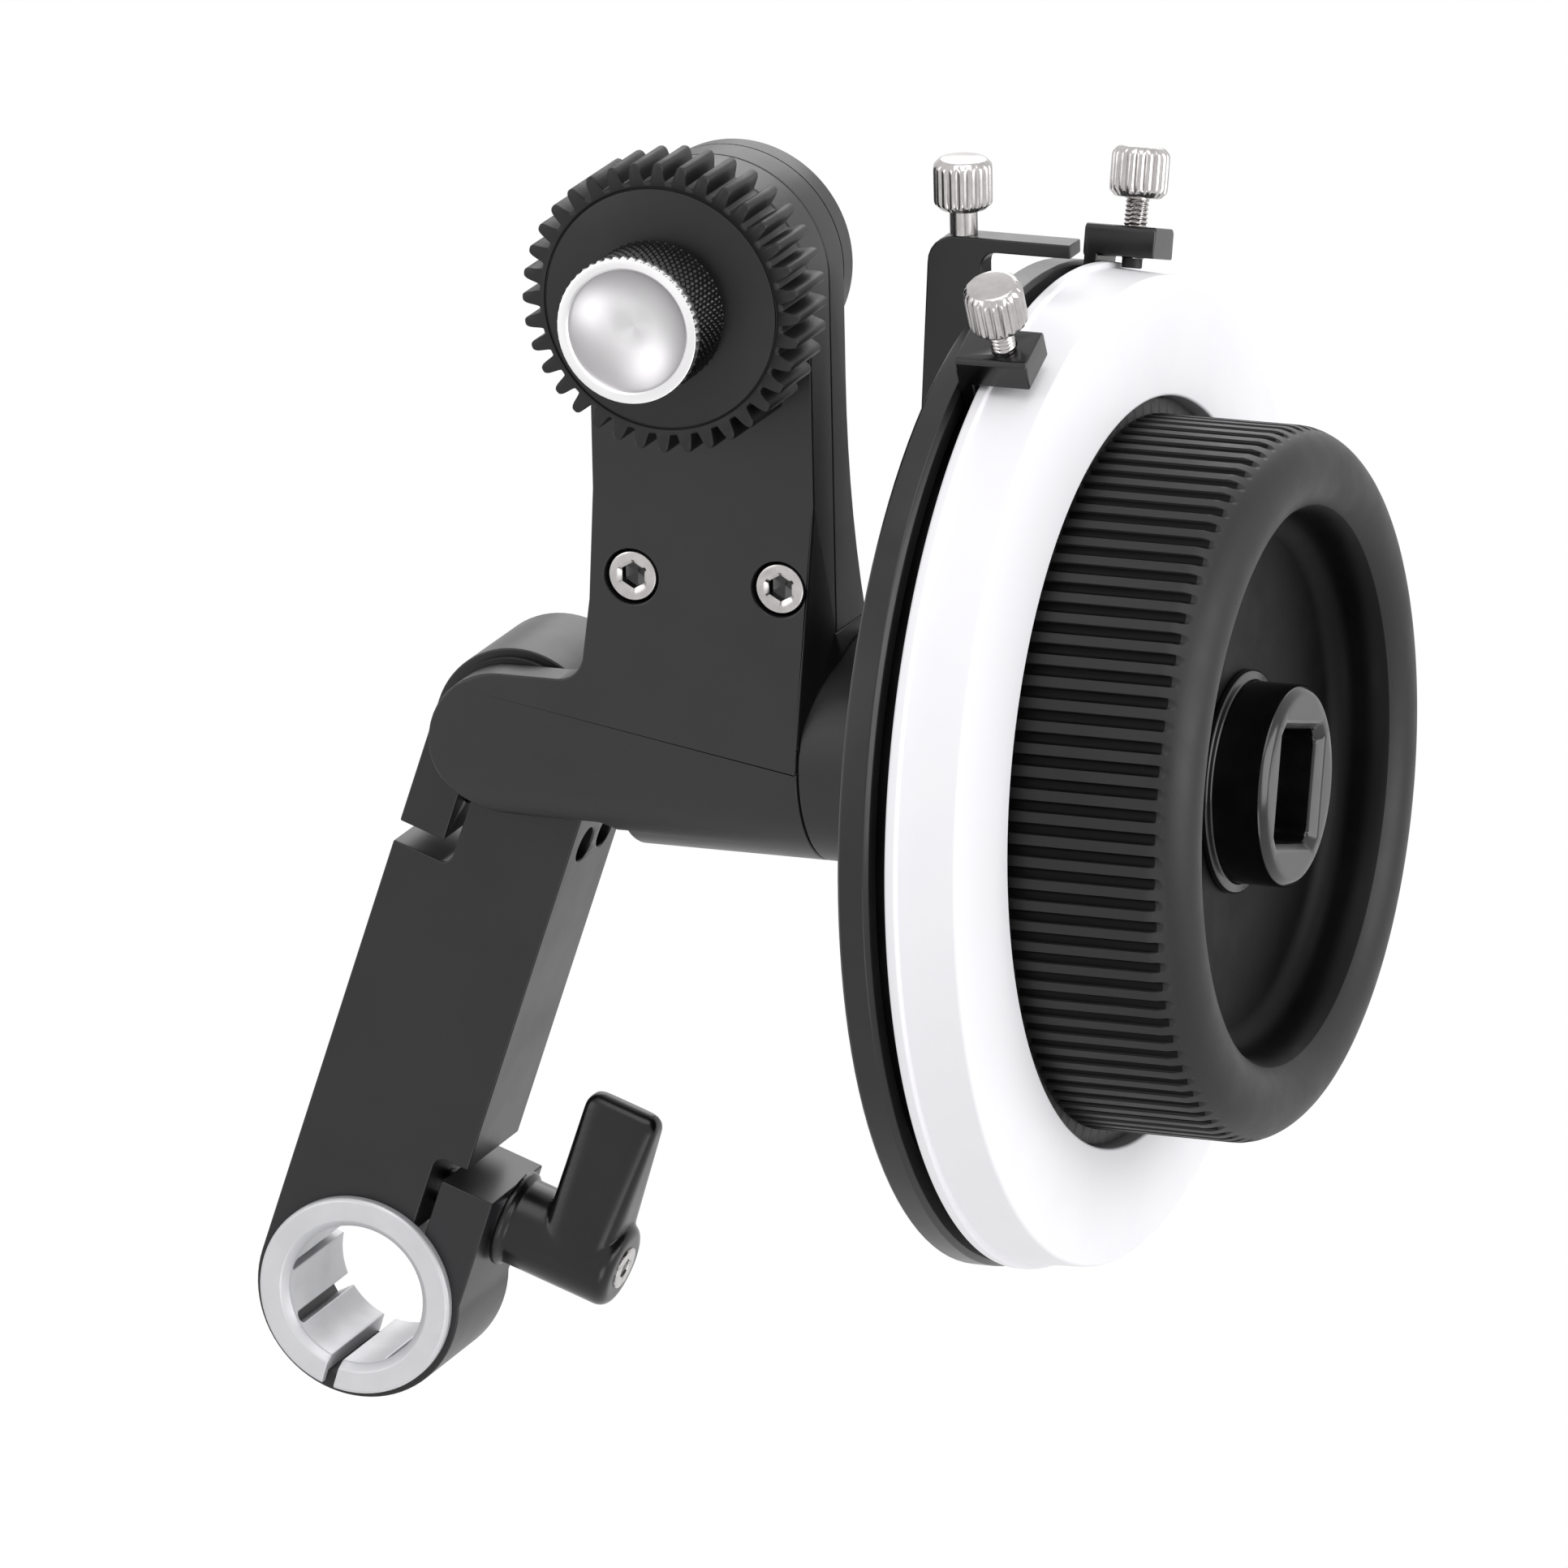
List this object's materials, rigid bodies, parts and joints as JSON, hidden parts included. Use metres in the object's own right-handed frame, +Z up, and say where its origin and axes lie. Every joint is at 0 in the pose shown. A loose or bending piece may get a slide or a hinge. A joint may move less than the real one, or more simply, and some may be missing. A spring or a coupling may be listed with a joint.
{
  "type": "follow focus unit",
  "caption": "Follow focus: a split rod clamp on a swing arm carries a gearbox whose side handwheel, with a white marking disc and hard stops, turns a toothed lens drive gear",
  "frame": {"origin": "centre of the 15 mm rod bore, halfway through the thickness of the swing arm", "axes": "+X along the handwheel axis towards the handwheel; +Y along the support rod, away from the side with the lens gear; +Z up, square to the barrel of the gearbox"},
  "size_m": [0.1153, 0.1036, 0.1407],
  "materials": {
    "arm_anodised": "smooth dark anodised",
    "body_anodised": "satin black bead-blast anodised",
    "silver_anodised": "clear anodised, fine turned",
    "steel": "ground",
    "nickel": "bright nickel plate",
    "polished": "polished",
    "lever_black": "semi-gloss black",
    "knob_black": "gloss black anodised, bright edges",
    "brass_gear": "cut brass",
    "white_plastic": "matte white, written on with a pen",
    "grip_plastic": "matte charcoal, grooved",
    "gear_plastic": "moulded matte black",
    "washer_plastic": "plain",
    "belt_rubber": "moulded"
  },
  "bodies": {
    "arm": {"swing_arm": "arm_anodised", "rod_bush": "silver_anodised", "arm_clamp_screws": "steel"},
    "lever": {"clamp_lever": "lever_black", "lever_stud": "steel", "lever_screw": "steel"},
    "gearbox": {"gearbox_housing": "body_anodised", "rear_cover": "body_anodised", "cover_screws": "nickel", "pivot_washer": "washer_plastic", "pivot_cap": "body_anodised", "pivot_screw": "nickel", "bearing_collar": "body_anodised", "input_bearings": "steel", "bearing_spacer": "silver_anodised", "cross_bearings": "steel", "timing_belt": "belt_rubber", "output_bearings": "steel", "index_bracket": "body_anodised", "index_ring_screw": "steel"},
    "wheel": {"input_shaft": "steel", "mitre_pinion": "steel", "stop_disc": "body_anodised", "marking_disc": "white_plastic", "disc_magnets": "nickel", "handwheel": "grip_plastic", "wheel_screws": "steel", "wheel_hub": "knob_black", "hub_screw": "steel"},
    "cross": {"cross_shaft": "steel", "mitre_gear": "brass_gear", "lower_pulley": "silver_anodised"},
    "output": {"output_shaft": "steel", "upper_pulley": "silver_anodised", "lens_gear": "gear_plastic"},
    "gear_knob": {"retaining_knob": "knob_black", "knob_insert": "polished"},
    "index_thumb": {"index_screw": "nickel"},
    "front_stop": {"front_stop_block": "knob_black"},
    "front_thumb": {"front_stop_screw": "nickel"},
    "rear_stop": {"rear_stop_block": "knob_black"},
    "rear_thumb": {"rear_stop_screw": "nickel"}
  },
  "joints": [
    {"name": "lever_turn", "type": "hinge", "parent": "arm", "child": "lever", "pos_m": [0.00205, 0, 0.01221], "axis": [0.9438, 0, -0.3305], "range_deg": [-45, 120]},
    {"name": "arm_pivot", "type": "hinge", "parent": "arm", "child": "gearbox", "pos_m": [0.0197, 0, 0.06261], "axis": [0, 1, 0], "range_deg": [-60, 25]},
    {"name": "handwheel_spin", "type": "hinge", "parent": "gearbox", "child": "wheel", "pos_m": [0.0197, 0, 0.06261], "axis": [1, 0, 0], "range_deg": [-13.8, 18.5]},
    {"name": "cross_spin", "type": "hinge", "parent": "gearbox", "child": "cross", "pos_m": [0.0429, 0, 0.06261], "axis": [0, 1, 0], "range_deg": [-19, 14.3]},
    {"name": "gear_spin", "type": "hinge", "parent": "gearbox", "child": "output", "pos_m": [0.0429, 0, 0.11411], "axis": [0, 1, 0], "range_deg": [-19, 14.3]},
    {"name": "knob_turn", "type": "hinge", "parent": "output", "child": "gear_knob", "pos_m": [0.0429, -0.0224, 0.11411], "axis": [0, 1, 0], "continuous": true},
    {"name": "index_screw_turn", "type": "hinge", "parent": "gearbox", "child": "index_thumb", "pos_m": [0.0696, -0.00575, 0.11991], "axis": [0, 0, 1], "continuous": true},
    {"name": "front_stop_slide", "type": "hinge", "parent": "wheel", "child": "front_stop", "pos_m": [0.0197, 0, 0.06261], "axis": [1, 0, 0], "range_deg": [0, 120]},
    {"name": "rear_stop_slide", "type": "hinge", "parent": "wheel", "child": "rear_stop", "pos_m": [0.0197, 0, 0.06261], "axis": [1, 0, 0], "range_deg": [-120, 0]},
    {"name": "front_screw_turn", "type": "hinge", "parent": "front_stop", "child": "front_thumb", "pos_m": [0.08025, -0.02261, 0.1134], "axis": [0, -0.4067, 0.9135], "continuous": true},
    {"name": "rear_screw_turn", "type": "hinge", "parent": "rear_stop", "child": "rear_thumb", "pos_m": [0.08025, 0.01533, 0.11605], "axis": [0, 0.2756, 0.9613], "continuous": true}
  ],
  "couplings": [
    {"joint": "cross_spin", "follows": "handwheel_spin", "ratio": -1},
    {"joint": "gear_spin", "follows": "handwheel_spin", "ratio": -1}
  ]
}
